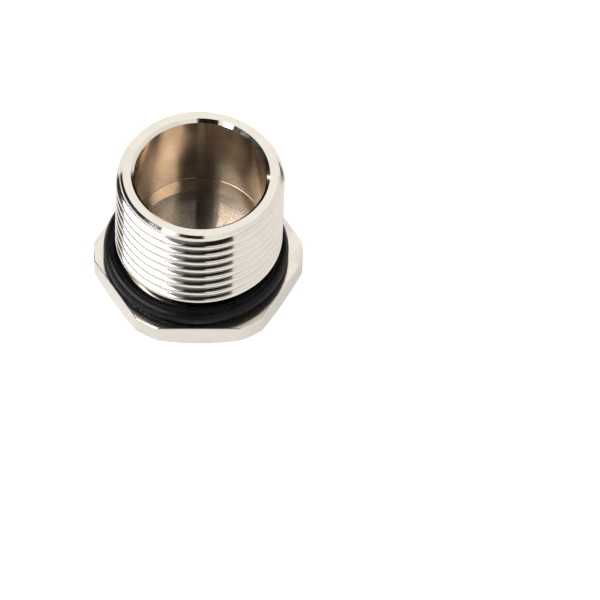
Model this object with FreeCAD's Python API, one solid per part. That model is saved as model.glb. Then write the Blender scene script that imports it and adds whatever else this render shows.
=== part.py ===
import FreeCAD, Part
import math
import os

# A hollow stopping plug with a hexagon head, and the round sealing ring that lies at the foot of
# its thread. Lengths are in millimetres and angles in degrees. The thread's axis is +Z, the origin
# is the centre of the head's outer face, and the plug stands on that face with its mouth up.

# Thread, right hand
thread_diameter = 20.0
thread_pitch = 1.5
thread_angle = 60.0
crest_flat = 0.40
root_flat = 0.165
shank_length = 15.3
lead_chamfer = 0.79
groove_overshoot = 0.2
groove_start_side = -90.0

# Relief turned between the thread and the head, where the ring lies
neck_relief = 0.59
neck_end_clearance = 0.85
neck_exit_angle = 30.0

# Blind bore
neck_wall = 0.725
mouth_chamfer = 0.38
floor_thickness = 5.2
bore_foot_height = 1.9
bore_foot_step = 0.375

# Hexagon head, milled from round bar, so that its corners keep the bar's round
head_thickness = 3.0
head_overhang = 1.5
corner_stand = 1.0
head_chamfer_angle = 30.0
head_chamfer_inset = 0.12
hexagon_sides = 6
centre_mark_radius = 0.35
centre_mark_depth = 0.15

# Round rubber ring, which lies off centre, against one side of its play round the neck
ring_section = 2.0
ring_section_sides = 16
ring_play = 0.47
ring_neck_gap = 0.07
ring_seat_gap = 0.02
ring_lean_side = 222.0

# Sizes that follow from them
thread_radius = thread_diameter / 2
half_angle = math.radians(thread_angle / 2)
thread_depth = (thread_pitch - crest_flat - root_flat) / 2 / math.tan(half_angle)
root_radius = thread_radius - thread_depth
neck_radius = root_radius - neck_relief
neck_top = head_thickness + ring_section + neck_end_clearance
neck_exit_height = (thread_radius - neck_radius) * math.tan(math.radians(neck_exit_angle))
bore_radius = neck_radius - neck_wall
flat_distance = thread_radius + head_overhang
bar_radius = flat_distance + corner_stand
overall_height = head_thickness + shank_length
ring_centre_radius = neck_radius + ring_play + ring_section / 2

AXIS = FreeCAD.Vector(0, 0, 1)
ORIGIN = FreeCAD.Vector(0, 0, 0)


def at(radius, height):
    """A point of the half section, which lies in the XZ plane."""
    return FreeCAD.Vector(radius, 0, height)


def half_section():
    """One side of the plug cut along its axis, before the thread and the flats are made."""
    chamfer_radius = flat_distance - head_chamfer_inset
    chamfer_height = (bar_radius - chamfer_radius) * math.tan(math.radians(head_chamfer_angle))
    corners = [
        at(0, centre_mark_depth),
        at(centre_mark_radius, 0),
        at(chamfer_radius, 0),
        at(bar_radius, chamfer_height),
        at(bar_radius, head_thickness),
        at(neck_radius, head_thickness),
        at(neck_radius, neck_top - neck_exit_height),
        at(thread_radius, neck_top),
        at(thread_radius, overall_height - lead_chamfer),
        at(thread_radius - lead_chamfer, overall_height),
        at(bore_radius + mouth_chamfer, overall_height),
        at(bore_radius, overall_height - mouth_chamfer),
        at(bore_radius, floor_thickness + bore_foot_height),
        at(bore_radius - bore_foot_step, floor_thickness),
        at(0, floor_thickness),
        at(0, centre_mark_depth),
    ]
    return Part.Face(Part.makePolygon(corners))


def one_side():
    """The slice of the turned blank under one flat, with that flat milled on the head."""
    turn = 360 / hexagon_sides
    section = half_section()
    section.rotate(ORIGIN, AXIS, -turn / 2)
    blank = section.revolve(ORIGIN, AXIS, turn)
    cutter_corner = FreeCAD.Vector(flat_distance, -bar_radius, -head_thickness)
    cutter = Part.makeBox(bar_radius, 2 * bar_radius, 2 * head_thickness, cutter_corner)
    return blank.cut(cutter)


def turned_blank():
    """The slices set round the axis and joined, with a flat facing -Y."""
    side = one_side()
    sides = []
    for number in range(hexagon_sides):
        copy = side.copy()
        copy.rotate(ORIGIN, AXIS, number * 360 / hexagon_sides - 90)
        sides.append(copy)
    return sides[0].fuse(sides[1:])


def helix(pitch, height, radius):
    """A right-hand helix on a plain cylinder, one edge to a turn."""
    cone_angle = 0
    return Part.Wire(Part.makeLongHelix(pitch, height, radius, cone_angle).Edges)


def thread_groove():
    """The space the threading tool sweeps: it enters in the neck and leaves past the rim."""
    start = head_thickness + (neck_top - head_thickness) / 3
    height = overall_height + thread_pitch - start
    outer_radius = thread_radius + groove_overshoot
    root_half = root_flat / 2
    outer_half = root_half + (outer_radius - root_radius) * math.tan(half_angle)
    corners = [
        at(root_radius, -root_half),
        at(outer_radius, -outer_half),
        at(outer_radius, outer_half),
        at(root_radius, root_half),
    ]
    sweep = Part.BRepOffsetAPI.MakePipeShell(helix(thread_pitch, height, thread_radius))
    sweep.setBiNormalMode(AXIS)
    sweep.add(Part.makePolygon(corners + corners[:1]))
    sweep.build()
    sweep.makeSolid()
    groove = sweep.shape()
    if groove.Volume < 0:
        groove.reverse()
    groove.rotate(ORIGIN, AXIS, groove_start_side)
    groove.translate(at(0, start))
    return groove


def plug_body():
    return turned_blank().cut(thread_groove())


def sealing_ring():
    """Turned from a section of short sides whose corners lie on the true circle."""
    section_radius = ring_section / 2
    height = head_thickness + ring_seat_gap + section_radius
    corners = []
    for number in range(ring_section_sides + 1):
        angle = math.radians(number * 360 / ring_section_sides)
        radius = ring_centre_radius + section_radius * math.cos(angle)
        corners.append(at(radius, height + section_radius * math.sin(angle)))
    ring = Part.Face(Part.makePolygon(corners)).revolve(ORIGIN, AXIS, 360)
    lean = ring_play - ring_neck_gap
    side = math.radians(ring_lean_side)
    ring.translate(FreeCAD.Vector(lean * math.cos(side), lean * math.sin(side), 0))
    return ring


def main():
    os.makedirs("parts", exist_ok=True)
    pieces = {"plug_body": plug_body(), "sealing_ring": sealing_ring()}
    for name, shape in pieces.items():
        shape.exportStep("parts/" + name + ".step")
        print(name, len(shape.Solids), "solid, volume", round(shape.Volume, 1), "mm3")


main()
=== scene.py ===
# %% [markdown]
# # A hollow stopping plug, standing on its head
# The plug is one turned piece of nickel-plated brass with a black rubber ring round its neck.
# The solids come from the imported model, and this lesson gives them their looks. The first step
# loads the model as a fixed frame.

# %% Load the frame
import math
import bmesh
import bpy
from mathutils import Matrix, Vector


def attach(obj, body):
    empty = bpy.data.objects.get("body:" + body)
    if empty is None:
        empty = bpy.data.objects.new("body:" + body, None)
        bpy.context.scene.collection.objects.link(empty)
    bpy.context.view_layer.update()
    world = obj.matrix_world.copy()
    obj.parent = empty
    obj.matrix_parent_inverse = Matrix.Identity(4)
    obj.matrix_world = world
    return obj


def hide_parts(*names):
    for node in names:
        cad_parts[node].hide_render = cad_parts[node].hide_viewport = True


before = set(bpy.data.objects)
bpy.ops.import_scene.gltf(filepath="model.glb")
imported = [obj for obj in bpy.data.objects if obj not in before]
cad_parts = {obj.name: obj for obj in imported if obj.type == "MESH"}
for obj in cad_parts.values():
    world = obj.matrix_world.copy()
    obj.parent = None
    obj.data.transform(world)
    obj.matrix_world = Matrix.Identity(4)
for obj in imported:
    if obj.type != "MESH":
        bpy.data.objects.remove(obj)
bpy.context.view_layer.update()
print("nodes:", sorted(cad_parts))

# %% [markdown]
# ## The camera
# The plug was photographed with a long lens from above, so circles look like clean ellipses and
# the sides hardly converge. The camera is set out as a photographer would: how high it stands,
# how far round it has walked, how far off it is and how much it leans. The plug is to the left
# of the middle and above it, so the camera points a little to the right of it and below.

# %% Camera
CAMERA_HEIGHT_ANGLE = math.radians(52.8814)
CAMERA_WALK = math.radians(-1.7187)
CAMERA_LEAN = math.radians(1.4692)
CAMERA_DISTANCE = 0.95231
LENS_MM = 480.48
SENSOR_MM = 36
PLUG_MIDDLE = Vector((0, 0, 0.010))
RIGHT_OF_PLUG = 0.01197
BELOW_PLUG = 0.009985

walk = Matrix.Rotation(CAMERA_WALK, 3, "Z")
to_camera = walk @ Vector((0, -math.cos(CAMERA_HEIGHT_ANGLE), math.sin(CAMERA_HEIGHT_ANGLE)))
level = walk @ Vector((1, 0, 0))
lean = Matrix.Rotation(CAMERA_LEAN, 3, to_camera)
camera_right = lean @ level
camera_up = lean @ to_camera.cross(level)
stand = PLUG_MIDDLE + to_camera * CAMERA_DISTANCE
aim = PLUG_MIDDLE + camera_right * RIGHT_OF_PLUG - camera_up * BELOW_PLUG
forward = (aim - stand).normalized()
camera_right = (camera_right - forward * camera_right.dot(forward)).normalized()
camera_up = camera_right.cross(forward)

camera_data = bpy.data.cameras.new("camera")
camera_data.lens = LENS_MM
camera_data.sensor_width = SENSOR_MM
camera_data.clip_end = 20
camera = bpy.data.objects.new("camera", camera_data)
camera_axes = Matrix((camera_right, camera_up, -forward)).transposed()
camera.matrix_world = Matrix.Translation(stand) @ camera_axes.to_4x4()
bpy.context.scene.collection.objects.link(camera)
bpy.context.scene.camera = camera
print("camera stands at", [round(c, 4) for c in stand])

# %% [markdown]
# ## Working in millimetres
# The plug is a small machined part, so its sizes are written in millimetres, as on a drawing.
# Every mesh is made at that scale and brought down to metres at the end, with its object left
# at the origin. These helpers draw half a section, turn it round the axis and close it up.

# %% Helpers for turned pieces
MM = 0.001
COLUMNS = 360
SAME_PLACE = 1e-3
ON_PLANE = 1e-6


def sketch(mesh, points):
    """A line of edges in the plane x = 0, through pairs of radius and height."""
    dots = [mesh.verts.new((0, -radius, height)) for radius, height in points]
    return dots + [mesh.edges.new(pair) for pair in zip(dots, dots[1:])]


def turn(mesh, line, rise=0.0):
    """Turns the line once round the axis, climbing by rise on the way."""
    bmesh.ops.spin(
        mesh, geom=line, cent=(0, 0, 0), axis=(0, 0, 1), angle=math.tau, steps=COLUMNS,
        dvec=(0, 0, rise / COLUMNS), use_merge=not rise,
    )
    bmesh.ops.remove_doubles(mesh, verts=mesh.verts, dist=SAME_PLACE)


def whole(mesh):
    """All of a mesh's points, lines and faces, as bisect_plane wants them."""
    return mesh.verts[:] + mesh.edges[:] + mesh.faces[:]


def slice_off(mesh, place, outward):
    """Cuts everything beyond a plane away and gives the edges of the cut."""
    cut = bmesh.ops.bisect_plane(
        mesh, geom=whole(mesh), plane_co=place, plane_no=outward, clear_outer=True,
        dist=ON_PLANE,
    )
    return [part for part in cut["geom_cut"] if isinstance(part, bmesh.types.BMEdge)]


def finished_object(name, mesh, scale=MM):
    """Makes the mesh an object at the origin, with its size brought down to metres."""
    bmesh.ops.scale(mesh, vec=(scale, scale, scale), verts=mesh.verts)
    bmesh.ops.recalc_face_normals(mesh, faces=mesh.faces)
    data = bpy.data.meshes.new(name)
    mesh.to_mesh(data)
    mesh.free()
    piece = bpy.data.objects.new(name, data)
    bpy.context.scene.collection.objects.link(piece)
    print(name, "has", len(data.polygons), "faces")
    return piece


# %% [markdown]
# ## The thread
# A lathe tool leaves one groove that climbs round the shank, 1.5 mm each turn. A stack of rings
# would look nearly the same but would be wrong, so the section of one pitch is repeated upwards
# and turned once round the axis while it climbs by a pitch. Each turn then ends where the next
# begins. Plating rounds the crests, so they are drawn as arcs and not as sharp corners.

# %% Threaded rod
THREAD_RADIUS = 10.0
THREAD_PITCH = 1.5
THREAD_DEPTH = 0.81
FLANK_LEAN = math.radians(30)
ROOT_HALF = 0.0515
CREST_ROUND = 0.40
CREST_STEPS = 6
FIRST_CREST = 3.2
TURNS = 12


def one_pitch(crest_height):
    """Radius and height along one thread, from the root below its crest upwards."""
    root = THREAD_RADIUS - THREAD_DEPTH
    half = THREAD_PITCH / 2
    centre = THREAD_RADIUS - CREST_ROUND
    limit = math.pi / 2 - FLANK_LEAN
    angles = [limit * (2 * step / CREST_STEPS - 1) for step in range(CREST_STEPS + 1)]
    arc = [
        (centre + CREST_ROUND * math.cos(a), crest_height + CREST_ROUND * math.sin(a))
        for a in angles
    ]
    below = (root, crest_height - half + ROOT_HALF)
    above = (root, crest_height + half - ROOT_HALF)
    return [below] + arc + [above]


rod = bmesh.new()
heights = [FIRST_CREST + THREAD_PITCH * number for number in range(TURNS)]
turn(rod, sketch(rod, [point for height in heights for point in one_pitch(height)]),
     rise=THREAD_PITCH)
print("rod sheet:", len(rod.faces), "faces")

# %% [markdown]
# The sheet becomes a solid rod that is cut level at the top. At the bottom it widens past the
# hexagon, so that the rod and the turned blank share the whole head and only the shank is
# threaded.

# %% Close the rod
ROD_TOP = 19.0
ROD_FOOT = 5.3
BLOCK_RADIUS = 14.0
BLOCK_BOTTOM = -1.0


def step_out(mesh, rim, radius, height):
    """Extrudes a loop of edges and lays the new loop at a radius and a height."""
    grown = bmesh.ops.extrude_edge_only(mesh, edges=rim)["geom"]
    for dot in (part for part in grown if isinstance(part, bmesh.types.BMVert)):
        flat = Vector((dot.co.x, dot.co.y, 0)).normalized() * radius
        dot.co = (flat.x, flat.y, height)
    return [part for part in grown if isinstance(part, bmesh.types.BMEdge)
            and all(abs(end.co.z - height) < SAME_PLACE for end in part.verts)
            and len(part.link_faces) == 1]


top_rim = slice_off(rod, (0, 0, ROD_TOP), (0, 0, 1))
bmesh.ops.contextual_create(rod, geom=top_rim)
foot_rim = slice_off(rod, (0, 0, ROD_FOOT), (0, 0, -1))
foot_rim = step_out(rod, foot_rim, BLOCK_RADIUS, ROD_FOOT)
foot_rim = step_out(rod, foot_rim, BLOCK_RADIUS, BLOCK_BOTTOM)
bmesh.ops.contextual_create(rod, geom=foot_rim)
print("rod open edges:", len([edge for edge in rod.edges if len(edge.link_faces) != 2]))
thread_rod = finished_object("thread_rod", rod, scale=1.0)

# %% [markdown]
# ## The turned blank
# Before the thread is cut, the plug is a blank from the lathe: head, relief groove, shank and a
# bore from above. Half of its section is sketched once, from the middle of the outer face round
# to the middle of the bore's floor, and turned. Six planes then mill the flats, which leaves the
# round corners of the bar between them. The sharp edge round the inner face of the head is broken
# by a small bevel, as a file or the barrel would leave it.
#
# At the top the shank is turned down a little below the crests, with a small chamfer at the rim,
# so the first turn of the thread grows in gradually. In the bore the tool left a fine step where
# the wall meets the tapered foot. It shows in the photograph as a thin bright line.

# %% Blank
BAR_RADIUS = 12.5
FLAT_DISTANCE = 11.5
FACE_RADIUS = 11.38
FACE_LEAN = math.radians(30)
MARK_RADIUS = 0.35
MARK_DEPTH = 0.15
HEAD_TOP = 3.0
NECK_RADIUS = 8.6
NECK_END = 5.04
NECK_SLOPE = 0.5786
WIDE_RADIUS = 10.2
RIM_RADIUS = 9.21
PLUG_TOP = 18.3
LEAD_CHAMFER = 0.28
LEAD_RADIUS = 9.56
LEAD_FOOT = 17.62
EDGE_BREAK = 0.07
MOUTH_RADIUS = 8.255
BORE_RADIUS = 7.875
BORE_CORNER = 7.1
TOOL_STEP = 0.075
STEP_DROP = 0.01
FLOOR_RADIUS = 7.5
FLOOR = 5.2

blank = bmesh.new()
section = [
    (0, MARK_DEPTH),
    (MARK_RADIUS, 0),
    (FACE_RADIUS, 0),
    (BAR_RADIUS, (BAR_RADIUS - FACE_RADIUS) * math.tan(FACE_LEAN)),
    (BAR_RADIUS, HEAD_TOP),
    (NECK_RADIUS, HEAD_TOP),
    (NECK_RADIUS, NECK_END),
    (WIDE_RADIUS, NECK_END + (WIDE_RADIUS - NECK_RADIUS) * NECK_SLOPE),
    (WIDE_RADIUS, LEAD_FOOT - (WIDE_RADIUS - LEAD_RADIUS)),
    (LEAD_RADIUS, LEAD_FOOT),
    (RIM_RADIUS + LEAD_CHAMFER, PLUG_TOP - LEAD_CHAMFER),
    (RIM_RADIUS, PLUG_TOP),
    (MOUTH_RADIUS, PLUG_TOP),
    (BORE_RADIUS, PLUG_TOP - (MOUTH_RADIUS - BORE_RADIUS)),
    (BORE_RADIUS, BORE_CORNER),
    (BORE_RADIUS - TOOL_STEP, BORE_CORNER - STEP_DROP),
    (FLOOR_RADIUS, FLOOR),
    (0, FLOOR),
]
turn(blank, sketch(blank, section))
for side in range(6):
    outward = Matrix.Rotation(math.radians(60 * side), 3, "Z") @ Vector((0, -1, 0))
    flat_rim = slice_off(blank, outward * FLAT_DISTANCE, outward)
    bmesh.ops.contextual_create(blank, geom=flat_rim)
head_rim = [edge for edge in blank.edges
            if all(abs(end.co.z - HEAD_TOP) < SAME_PLACE and end.co.xy.length > NECK_RADIUS + 1
                   for end in edge.verts)
            and any(abs(face.normal.z) < 0.5 for face in edge.link_faces)]
bmesh.ops.bevel(blank, geom=head_rim, offset=EDGE_BREAK, segments=1, affect="EDGES",
                profile=0.5, material=-1)
print("blank:", len(blank.faces), "faces, open edges:",
      len([edge for edge in blank.edges if len(edge.link_faces) != 2]))
plug = finished_object("plug", blank, scale=1.0)

# %% [markdown]
# ## Cutting the thread
# What the blank and the rod share is the plug. A boolean keeps the true lines where the thread
# runs out through the lead chamfer at the top and the relief at the neck, which are what makes a
# cut thread look cut.

# %% Plug from blank and rod
SHARP_ANGLE = math.radians(25)

cut = plug.modifiers.new("cut", "BOOLEAN")
cut.operation = "INTERSECT"
cut.solver = "EXACT"
cut.object = thread_rod
graph = bpy.context.evaluated_depsgraph_get()
shared = bpy.data.meshes.new_from_object(plug.evaluated_get(graph))
plug.modifiers.clear()
plug.data = shared
bpy.data.objects.remove(thread_rod)
shape = bmesh.new()
shape.from_mesh(shared)
bmesh.ops.scale(shape, vec=(MM, MM, MM), verts=shape.verts)
shape.to_mesh(shared)
print("plug:", len(shape.faces), "faces, open edges:",
      len([edge for edge in shape.edges if len(edge.link_faces) != 2]))
shape.free()
shared.shade_smooth()
shared.set_sharp_from_angle(angle=SHARP_ANGLE)

# %% [markdown]
# ## The rubber ring
# The ring is an O-ring pushed down over the thread, and it has settled a little to one side.

# %% Ring
RING_CENTRE = (-0.297, -0.268, 4.02)
RING_RADIUS = 10.07
RING_SECTION = 1.0
SECTION_SIDES = 32
RING_STEPS = 240

ring_mesh = bmesh.new()
circle = bmesh.ops.create_circle(ring_mesh, segments=SECTION_SIDES, radius=RING_SECTION)["verts"]
bmesh.ops.rotate(ring_mesh, cent=(0, 0, 0), matrix=Matrix.Rotation(math.pi / 2, 3, "Y"),
                 verts=circle)
bmesh.ops.translate(ring_mesh, vec=(0, -RING_RADIUS, 0), verts=circle)
bmesh.ops.spin(ring_mesh, geom=circle + ring_mesh.edges[:], cent=(0, 0, 0), axis=(0, 0, 1),
               angle=math.tau, steps=RING_STEPS, use_merge=True)
bmesh.ops.remove_doubles(ring_mesh, verts=ring_mesh.verts, dist=SAME_PLACE)
bmesh.ops.translate(ring_mesh, vec=RING_CENTRE, verts=ring_mesh.verts)
ring = finished_object("ring", ring_mesh)
ring.data.shade_smooth()

# %% [markdown]
# ## Small helpers for node trees
# The studio and the finishes are both drawn with nodes. These helpers add one node each, so that
# a tree reads like a sum: a ramp between two values, a band with soft edges, a blend of two.

# %% Node helpers
def math_node(tree, operation, *values):
    """A maths node. Its inputs are numbers, or sockets to be linked."""
    node = tree.nodes.new("ShaderNodeMath")
    node.operation = operation
    for socket, value in zip(node.inputs, values):
        if isinstance(value, (int, float)):
            socket.default_value = value
        else:
            tree.links.new(value, socket)
    return node.outputs[0]


def ramp(tree, value, start, end, low=0.0, high=1.0):
    """Goes smoothly from low to high while a value goes from start to end."""
    node = tree.nodes.new("ShaderNodeMapRange")
    node.interpolation_type = "SMOOTHSTEP"
    for name, number in (("From Min", start), ("From Max", end), ("To Min", low), ("To Max", high)):
        if isinstance(number, (int, float)):
            node.inputs[name].default_value = number
        else:
            tree.links.new(number, node.inputs[name])
    tree.links.new(value, node.inputs["Value"])
    return node.outputs["Result"]


def between(tree, value, low, high, soft):
    """1 while a value lies between two limits, and 0 outside, with soft edges."""
    rise = ramp(tree, value, low - soft / 2, low + soft / 2)
    fall = ramp(tree, value, high - soft / 2, high + soft / 2, 1.0, 0.0)
    return math_node(tree, "MULTIPLY", rise, fall)


def blend_colour(tree, share, first, second):
    """Goes from one colour to another as share goes from 0 to 1."""
    node = tree.nodes.new("ShaderNodeMix")
    node.data_type = "RGBA"
    for socket, value in zip((node.inputs[0], node.inputs[6], node.inputs[7]),
                             (share, first, second)):
        if isinstance(value, (int, float)):
            socket.default_value = value
        elif isinstance(value, tuple):
            socket.default_value = (*value, 1)
        else:
            tree.links.new(value, socket)
    return node.outputs[2]


# %% [markdown]
# ## The studio, by direction
# Plated metal has almost no colour of its own. What is seen on it is the studio, so the studio is
# worked out first, from where each light and dark patch lies on the rim, the two chamfers, the
# thread and the wall of the bore. Each patch on the metal shows the studio in one direction, the
# mirror of the line of sight. The studio is drawn on the world as a function of direction: how
# far round from the camera (right is positive) and how high, both in degrees.

# %% Directions
WALL_EDGE = (-0.854, -0.484, 0.1916)

world = bpy.data.worlds.new("studio")
world.use_nodes = True
bpy.context.scene.world = world
tree = world.node_tree
tree.nodes.clear()
direction = tree.nodes.new("ShaderNodeTexCoord").outputs["Generated"]
split = tree.nodes.new("ShaderNodeSeparateXYZ")
tree.links.new(direction, split.inputs[0])
forward_share = math_node(tree, "MULTIPLY", split.outputs["Y"], -1.0)
around = math_node(tree, "DEGREES", math_node(tree, "ARCTAN2", split.outputs["X"], forward_share))
height = math_node(tree, "DEGREES", math_node(tree, "ARCSINE", split.outputs["Z"]))
edge = tree.nodes.new("ShaderNodeVectorMath")
edge.operation = "DOT_PRODUCT"
edge.inputs[1].default_value = WALL_EDGE
tree.links.new(direction, edge.inputs[0])
inside_edge = edge.outputs["Value"]
print("world nodes for directions:", len(tree.nodes))


def patch(sky, colour, left, right, side_soft, bottom, top, end_soft):
    """Paints a patch of the studio between two angles round and two heights, with soft edges."""
    share = math_node(tree, "MULTIPLY", between(tree, around, left, right, side_soft),
                      between(tree, height, bottom, top, end_soft))
    return blend_colour(tree, share, sky, colour)


# %% [markdown]
# ## The far side and the side of the camera
# Behind the plug the tent is dim, with a white card straight behind. The rim and the head lie
# level, so they mirror the card and look evenly pale. On the side of the camera the tent is
# bright above and dim low down, where the table and the photographer stand.

# %% Far side and camera side
TENT_BEHIND = (1.09, 1.085, 1.07)
BACK_LEFT = (0.05, 0.05, 0.05)
BACK_RIGHT = (0.17, 0.165, 0.16)
TENT_FRONT = (0.95, 0.945, 0.93)
CAMERA_SIDE = (0.30, 0.30, 0.31)

sky = blend_colour(tree, ramp(tree, around, -20, 20), BACK_LEFT, BACK_RIGHT)
card = math_node(tree, "MULTIPLY", ramp(tree, math_node(tree, "ABSOLUTE", around), 167, 172),
                 between(tree, height, 40, 66, 5))
sky = blend_colour(tree, card, sky, TENT_BEHIND)
sky = patch(sky, CAMERA_SIDE, -50, 40, 14, -90, 20, 6)
sky = patch(sky, TENT_FRONT, -50, 40, 14, 20, 90, 6)
print("world nodes with the tent:", len(tree.nodes))

# %% [markdown]
# ## The cream wall
# On the right stands a cream wall with a straight edge and a top that slopes down as it goes
# round. Its edge draws the sharp end of the dark bars on the thread.

# %% Cream wall
CREAM_WALL = (0.90, 0.885, 0.86)
WALL_SLOPE = -0.39
WALL_RISE = 81

wall_top = math_node(tree, "ADD", math_node(tree, "MULTIPLY", around, WALL_SLOPE), WALL_RISE)
wall_share = math_node(tree, "MULTIPLY", between(tree, around, 30, 126, 12),
                       ramp(tree, math_node(tree, "SUBTRACT", wall_top, height), -1.5, 1.5))
sky = blend_colour(tree, wall_share, sky, CREAM_WALL)
print("world nodes with the wall:", len(tree.nodes))

# %% [markdown]
# ## The window
# On the left is a bright window. It makes that side of the thread white, and the tan band in the
# bore is the same window, seen after several bounces between wall and floor. Most of the light
# comes from its lower half, because the upper half would fill the right of the bore as well.

# %% Window
LEFT_LOW = (0.62, 0.625, 0.64)
LEFT_TOP = (1.3, 1.31, 1.33)
LEFT_UPPER = (3.1, 3.1, 3.1)
LEFT_LIGHT = (10.5, 10.5, 10.5)

sky = patch(sky, LEFT_LOW, -108, -48, 16, -90, 24, 6)
sky = patch(sky, LEFT_TOP, -112, -50, 10, 46, 74, 6)
sky = patch(sky, LEFT_UPPER, -118, -36, 5, 42, 54, 2)
sky = patch(sky, LEFT_LIGHT, -118, -36, 5, 30, 43, 2)
print("world nodes with the window:", len(tree.nodes))

# %% [markdown]
# ## The gap overhead and the stand
# Overhead is a dark gap, black in the middle and grey towards the left and low down. It ends in a
# straight line at the cream wall. In front of the plug stand the camera and its stand, which
# draw the short black bars at the middle of each chamfer.

# %% Gap and stand
DARK_GAP = (0.012, 0.010, 0.008)
GREY_GAP = (0.17, 0.175, 0.19)

grey_left = math_node(tree, "MULTIPLY", ramp(tree, around, 12, -26), ramp(tree, height, 72, 67))
grey_low = ramp(tree, height, 57, 53)
grey_share = math_node(tree, "MAXIMUM", grey_left, grey_low)
gap = blend_colour(tree, grey_share, DARK_GAP, GREY_GAP)
gap_foot = ramp(tree, around, 0, -14, 43, 53)
gap_share = math_node(tree, "MULTIPLY", ramp(tree, inside_edge, -0.004, 0.004),
                      ramp(tree, math_node(tree, "SUBTRACT", height, gap_foot), 0, 2))
gap_share = math_node(tree, "MULTIPLY", gap_share, ramp(tree, split.outputs["X"], -0.62, -0.36))
sky = blend_colour(tree, gap_share, sky, gap)
sky = patch(sky, DARK_GAP, -27, 5, 4, 27, 60, 6)
print("world nodes with the gap:", len(tree.nodes))

# %% [markdown]
# ## The foot of the window and the cloth below
# The dark foot of the window drops towards the back, and draws the thin black arcs on the two
# chamfers. Under the level of the paper the studio is one pale cloth. It is seen only from below.

# %% Foot of the window
LOW_DARK = (0.02, 0.02, 0.022)
FOOT_SLOPE = 0.357
FOOT_RISE = 49.5
LOWER_CLOTH = (0.85, 0.845, 0.83)

foot_height = math_node(tree, "ADD", math_node(tree, "MULTIPLY", around, FOOT_SLOPE), FOOT_RISE)
from_foot = math_node(tree, "ABSOLUTE", math_node(tree, "SUBTRACT", height, foot_height))
foot_share = math_node(tree, "MULTIPLY", ramp(tree, from_foot, 4.6, 3.0),
                       between(tree, around, -128, -47, 6))
sky = blend_colour(tree, foot_share, sky, LOW_DARK)
sky = blend_colour(tree, ramp(tree, height, -2, -6), sky, LOWER_CLOTH)
print("world nodes with patches:", len(tree.nodes))

# %% [markdown]
# ## The backdrop
# The photograph was cut out against pure white. The camera therefore sees white where it looks
# past the plug, and only mirrors and shadows meet the studio.

# %% Backdrop
paths = tree.nodes.new("ShaderNodeLightPath")
seen = blend_colour(tree, paths.outputs["Is Camera Ray"], sky, (1.0, 1.0, 1.0))
back_light = tree.nodes.new("ShaderNodeBackground")
tree.links.new(seen, back_light.inputs["Color"])
world_output = tree.nodes.new("ShaderNodeOutputWorld")
tree.links.new(back_light.outputs[0], world_output.inputs["Surface"])
bpy.context.scene.view_settings.view_transform = "Standard"
print("world nodes in all:", len(tree.nodes))

# %% [markdown]
# ## The paper
# The paper under the plug glows a little, so that it comes out white too, and it keeps the soft
# shadow the plug throws on it. It lies a hair below the head, so that the two faces don't share a
# plane. From below it is clear, so that the outer face of the head can be looked at.

# %% Paper
PAPER_HALF = 3.0
PAPER_GAP = 0.00002
PAPER_GLOW = 1.15
SEEN_GLOW = 0.86
MIRROR_GLOW = 0.55

floor_mesh = bmesh.new()
bmesh.ops.create_grid(floor_mesh, x_segments=1, y_segments=1, size=PAPER_HALF)
bmesh.ops.translate(floor_mesh, verts=floor_mesh.verts, vec=(0, 0, -PAPER_GAP))
floor = finished_object("floor", floor_mesh, scale=1.0)
paper = bpy.data.materials.new("paper")
paper.use_nodes = True
tree = paper.node_tree
shader = tree.nodes["Principled BSDF"]
shader.inputs["Base Color"].default_value = (0.9, 0.9, 0.9, 1)
shader.inputs["Roughness"].default_value = 0.9
shader.inputs["Specular IOR Level"].default_value = 0.0
paths = tree.nodes.new("ShaderNodeLightPath")
glow = tree.nodes.new("ShaderNodeEmission")
seen_share = math_node(tree, "MULTIPLY", paths.outputs["Is Camera Ray"], SEEN_GLOW)
mirror_share = math_node(tree, "MULTIPLY", paths.outputs["Is Glossy Ray"], MIRROR_GLOW)
glow_share = math_node(tree, "MAXIMUM", seen_share, mirror_share)
mixer = tree.nodes.new("ShaderNodeMixShader")
glow.inputs["Strength"].default_value = PAPER_GLOW
tree.links.new(glow_share, mixer.inputs[0])
tree.links.new(shader.outputs[0], mixer.inputs[1])
tree.links.new(glow.outputs[0], mixer.inputs[2])
underside = tree.nodes.new("ShaderNodeNewGeometry").outputs["Backfacing"]
clear = tree.nodes.new("ShaderNodeBsdfTransparent")
sides = tree.nodes.new("ShaderNodeMixShader")
tree.links.new(underside, sides.inputs[0])
tree.links.new(mixer.outputs[0], sides.inputs[1])
tree.links.new(clear.outputs[0], sides.inputs[2])
tree.links.new(sides.outputs[0], tree.nodes["Material Output"].inputs["Surface"])
floor.data.materials.append(paper)
print("paper:", [round(side, 2) for side in floor.dimensions], "m")

# %% [markdown]
# ## Marks of the lathe
# Everything but the flats was turned, so every tool mark is a circle round the axis. The marks
# need a place that runs round the axis and across the marks: up the shank, or out from the middle
# on a level face. Noise in that place is long round the axis and fine across it, as real marks
# are. On Object coordinates the marks stay with the metal.

# %% Coordinates on a turned surface
MARK_SCALE = 1000.0


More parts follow.
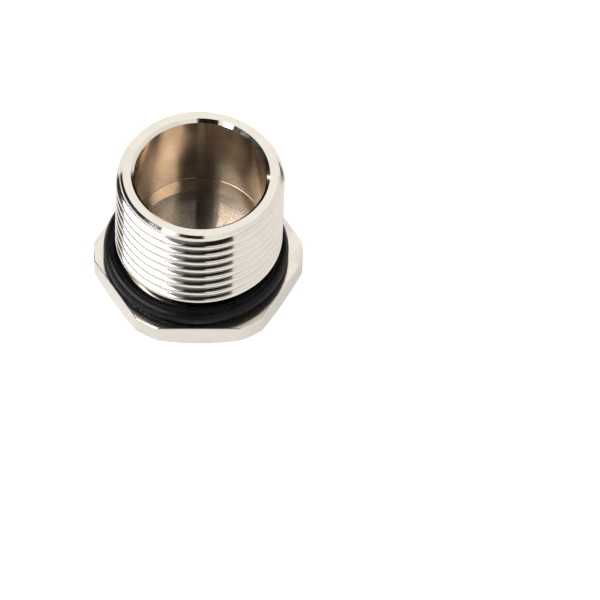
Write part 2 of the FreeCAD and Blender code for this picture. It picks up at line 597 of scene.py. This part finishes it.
def turned_place(tree, round_scale, across, across_scale):
    """A place that follows the lathe: round the axis, and across the marks of the tool.

    Going round uses the direction from the axis, so that there is no seam.
    """
    place = tree.nodes.new("ShaderNodeTexCoord").outputs["Object"]
    parts = tree.nodes.new("ShaderNodeSeparateXYZ")
    tree.links.new(place, parts.inputs[0])
    x, y, z = parts.outputs
    radius = math_node(tree, "SQRT", math_node(
        tree, "ADD", math_node(tree, "MULTIPLY", x, x), math_node(tree, "MULTIPLY", y, y)))
    safe = math_node(tree, "MAXIMUM", radius, 1e-6)
    joined = tree.nodes.new("ShaderNodeCombineXYZ")
    along_x = math_node(tree, "MULTIPLY", math_node(tree, "DIVIDE", x, safe), round_scale)
    along_y = math_node(tree, "MULTIPLY", math_node(tree, "DIVIDE", y, safe), round_scale)
    measure = {"height": z, "radius": radius}[across]
    tree.links.new(along_x, joined.inputs[0])
    tree.links.new(along_y, joined.inputs[1])
    tree.links.new(math_node(tree, "MULTIPLY", measure, MARK_SCALE * across_scale),
                   joined.inputs[2])
    return joined.outputs[0]


def noise(tree, place, scale, detail=2.0, roughness=0.5):
    """Soft random values round 0.5 at a place."""
    node = tree.nodes.new("ShaderNodeTexNoise")
    node.inputs["Scale"].default_value = scale
    node.inputs["Detail"].default_value = detail
    node.inputs["Roughness"].default_value = roughness
    if place is not None:
        tree.links.new(place, node.inputs["Vector"])
    return node.outputs["Fac"]


def bump(tree, height, strength, distance, before=None):
    """Tilts the surface by a height map."""
    node = tree.nodes.new("ShaderNodeBump")
    node.inputs["Strength"].default_value = strength
    node.inputs["Distance"].default_value = distance
    tree.links.new(height, node.inputs["Height"])
    if before is not None:
        tree.links.new(before, node.inputs["Normal"])
    return node.outputs["Normal"]


# %% [markdown]
# ## Nickel plate
# Nickel is a warm, pale metal. The plate is never quite even: it is a little darker in soft
# clouds, duller where the brass below was rough, and it follows every mark and grain of the
# brass. Where the marks are close together they spread a highlight across themselves, which the
# shader does with anisotropy.

# %% Nickel
def nickel(name, light, dark, roughness, marks=None, mark_depth=0.0, grain=0.0,
           grain_scale=9000.0, spread=0.06, anisotropy=0.0, marks_scale=1.0,
           tone_width=0.2):
    """Plated metal: two tones in soft clouds, tool marks across a measure, and grain."""
    material = bpy.data.materials.new(name)
    material.use_nodes = True
    tree = material.node_tree
    shader = tree.nodes["Principled BSDF"]
    shader.inputs["Metallic"].default_value = 1.0
    place = tree.nodes.new("ShaderNodeTexCoord").outputs["Object"]
    clouds = noise(tree, place, 420.0, 4.0, 0.6)
    normal = None
    rough_source = clouds
    tone_source = clouds
    if marks:
        marked = turned_place(tree, 2.2 * marks_scale, marks, 7.0 * marks_scale)
        lines = noise(tree, marked, 1.0, 3.0, 0.65)
        normal = bump(tree, lines, 1.0, mark_depth)
        rough_source = math_node(tree, "MULTIPLY", math_node(tree, "ADD", clouds, lines), 0.5)
        tone_source = rough_source
    if grain:
        specks = noise(tree, place, grain_scale, 2.0, 0.6)
        normal = bump(tree, specks, 1.0, grain, normal)
        tone_source = math_node(tree, "MULTIPLY", math_node(tree, "ADD", tone_source, specks), 0.5)
    if normal is not None:
        tree.links.new(normal, shader.inputs["Normal"])
    tone = ramp(tree, tone_source, 0.5 - tone_width, 0.5 + tone_width)
    tree.links.new(blend_colour(tree, tone, dark, light), shader.inputs["Base Color"])
    tree.links.new(ramp(tree, rough_source, 0.3, 0.7, roughness + spread, roughness - spread),
                   shader.inputs["Roughness"])
    if anisotropy:
        shader.inputs["Anisotropic"].default_value = anisotropy
        shader.inputs["Anisotropic Rotation"].default_value = 0.25
        across = tree.nodes.new("ShaderNodeVectorMath")
        across.operation = "CROSS_PRODUCT"
        across.inputs[0].default_value = (0, 0, 1)
        tree.links.new(place, across.inputs[1])
        tree.links.new(across.outputs[0], shader.inputs["Tangent"])
    return material


# %% [markdown]
# ## Seven surfaces, one metal
# The polished thread and chamfers are nearly mirrors. The rim and the head are flatter and duller.
# The bore is the least worked: its wall is given a browner, darker plate, partly brass showing
# through thin plate and partly painted shade of the deep bore, and its floor is grey and grainy
# with the circles of the drill. The finish of a face follows from where the face lies and which way
# it looks.

# %% Finishes of the plug
finishes = [
    nickel("thread_nickel", (0.84, 0.79, 0.72), (0.80, 0.745, 0.67), 0.09, "height", 0.0000022,
           spread=0.03),
    nickel("rim_nickel", (0.83, 0.785, 0.705), (0.80, 0.75, 0.665), 0.13, "radius", 0.000001,
           spread=0.03),
    nickel("mouth_nickel", (0.84, 0.79, 0.72), (0.81, 0.755, 0.68), 0.07, spread=0.02),
    # The bore wall's browner, darker colour is partly brass under thin plate and partly painted
    # shade of the deep bore.
    nickel("bore_nickel_painted_shade", (0.67, 0.565, 0.46), (0.565, 0.465, 0.37), 0.12, "height", 0.0000014,
           anisotropy=0.95, spread=0.02, tone_width=0.12),
    nickel("bore_floor_nickel", (0.91, 0.86, 0.785), (0.55, 0.50, 0.435), 0.30, "radius", 0.000008,
           anisotropy=1.0, spread=0.03, grain=0.000004, grain_scale=5000.0,
           marks_scale=0.6, tone_width=0.12),
    nickel("head_face_nickel", (0.84, 0.79, 0.715), (0.76, 0.71, 0.63), 0.16,
           grain=0.0000055, grain_scale=5500.0, spread=0.04),
    nickel("head_side_nickel", (0.76, 0.715, 0.655), (0.72, 0.68, 0.615), 0.22, "height", 0.0000012,
           spread=0.04),
]
THREAD, RIM, MOUTH, BORE, BORE_FLOOR, HEAD_FACE, HEAD_SIDE = range(7)


def finish_at(centre, normal):
    """Which finish a face has, from where it lies on the plug, in millimetres."""
    radius = math.hypot(centre.x, centre.y) / MM
    height = centre.z / MM
    if height > PLUG_TOP - 0.01:
        return RIM
    if radius < MOUTH_RADIUS and height > FLOOR - 0.01:
        if height < FLOOR + 0.01 and normal.z > 0.9:
            return BORE_FLOOR
        return MOUTH if radius > BORE_RADIUS and normal.z > 0.3 else BORE
    if height < HEAD_TOP + 0.01:
        return HEAD_FACE if abs(normal.z) > 0.6 else HEAD_SIDE
    return THREAD


plug.data.materials.clear()
for finish in finishes:
    plug.data.materials.append(finish)
counts = [0] * len(finishes)
for face in plug.data.polygons:
    face.material_index = finish_at(face.center, face.normal)
    counts[face.material_index] += 1
print("faces by finish:", dict(zip((finish.name for finish in finishes), counts)))


# %% [markdown]
# ## The rubber
# A moulded ring is black with a soft bloom. It shows three small things: cloudy patches where it
# was handled, a fine grain from the mould, and the parting line, a low ridge round the outside
# and the inside where the halves of the mould met.

# %% Rubber
RUBBER_DARK = (0.0025, 0.0025, 0.003)
RUBBER_BLOOM = (0.006, 0.006, 0.0075)
rubber = bpy.data.materials.new("rubber")
rubber.use_nodes = True
tree = rubber.node_tree
shader = tree.nodes["Principled BSDF"]
place = tree.nodes.new("ShaderNodeTexCoord").outputs["Object"]
clouds = noise(tree, place, 500.0, 4.0, 0.6)
fine = noise(tree, place, 7000.0, 2.0, 0.6)
parts = tree.nodes.new("ShaderNodeSeparateXYZ")
tree.links.new(place, parts.inputs[0])
from_middle = math_node(tree, "ABSOLUTE", math_node(
    tree, "SUBTRACT", parts.outputs["Z"], RING_CENTRE[2] * MM))
ridge = ramp(tree, from_middle, 0.00009, 0.00002)
normal = bump(tree, ridge, 1.0, 0.00003, bump(tree, fine, 1.0, 0.0000012))
tree.links.new(normal, shader.inputs["Normal"])
tree.links.new(blend_colour(tree, ramp(tree, clouds, 0.35, 0.65), RUBBER_DARK, RUBBER_BLOOM),
               shader.inputs["Base Color"])
tree.links.new(ramp(tree, clouds, 0.3, 0.7, 0.26, 0.36), shader.inputs["Roughness"])
shader.inputs["Specular IOR Level"].default_value = 0.17
ring.data.materials.append(rubber)

# %% [markdown]
# ## Handing over to the frame
# Both pieces ride on the one body of the frame, and each replaces the solid it was built for.

# %% Ride
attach(plug, "root")
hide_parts("plug_body")
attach(ring, "root")
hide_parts("sealing_ring")
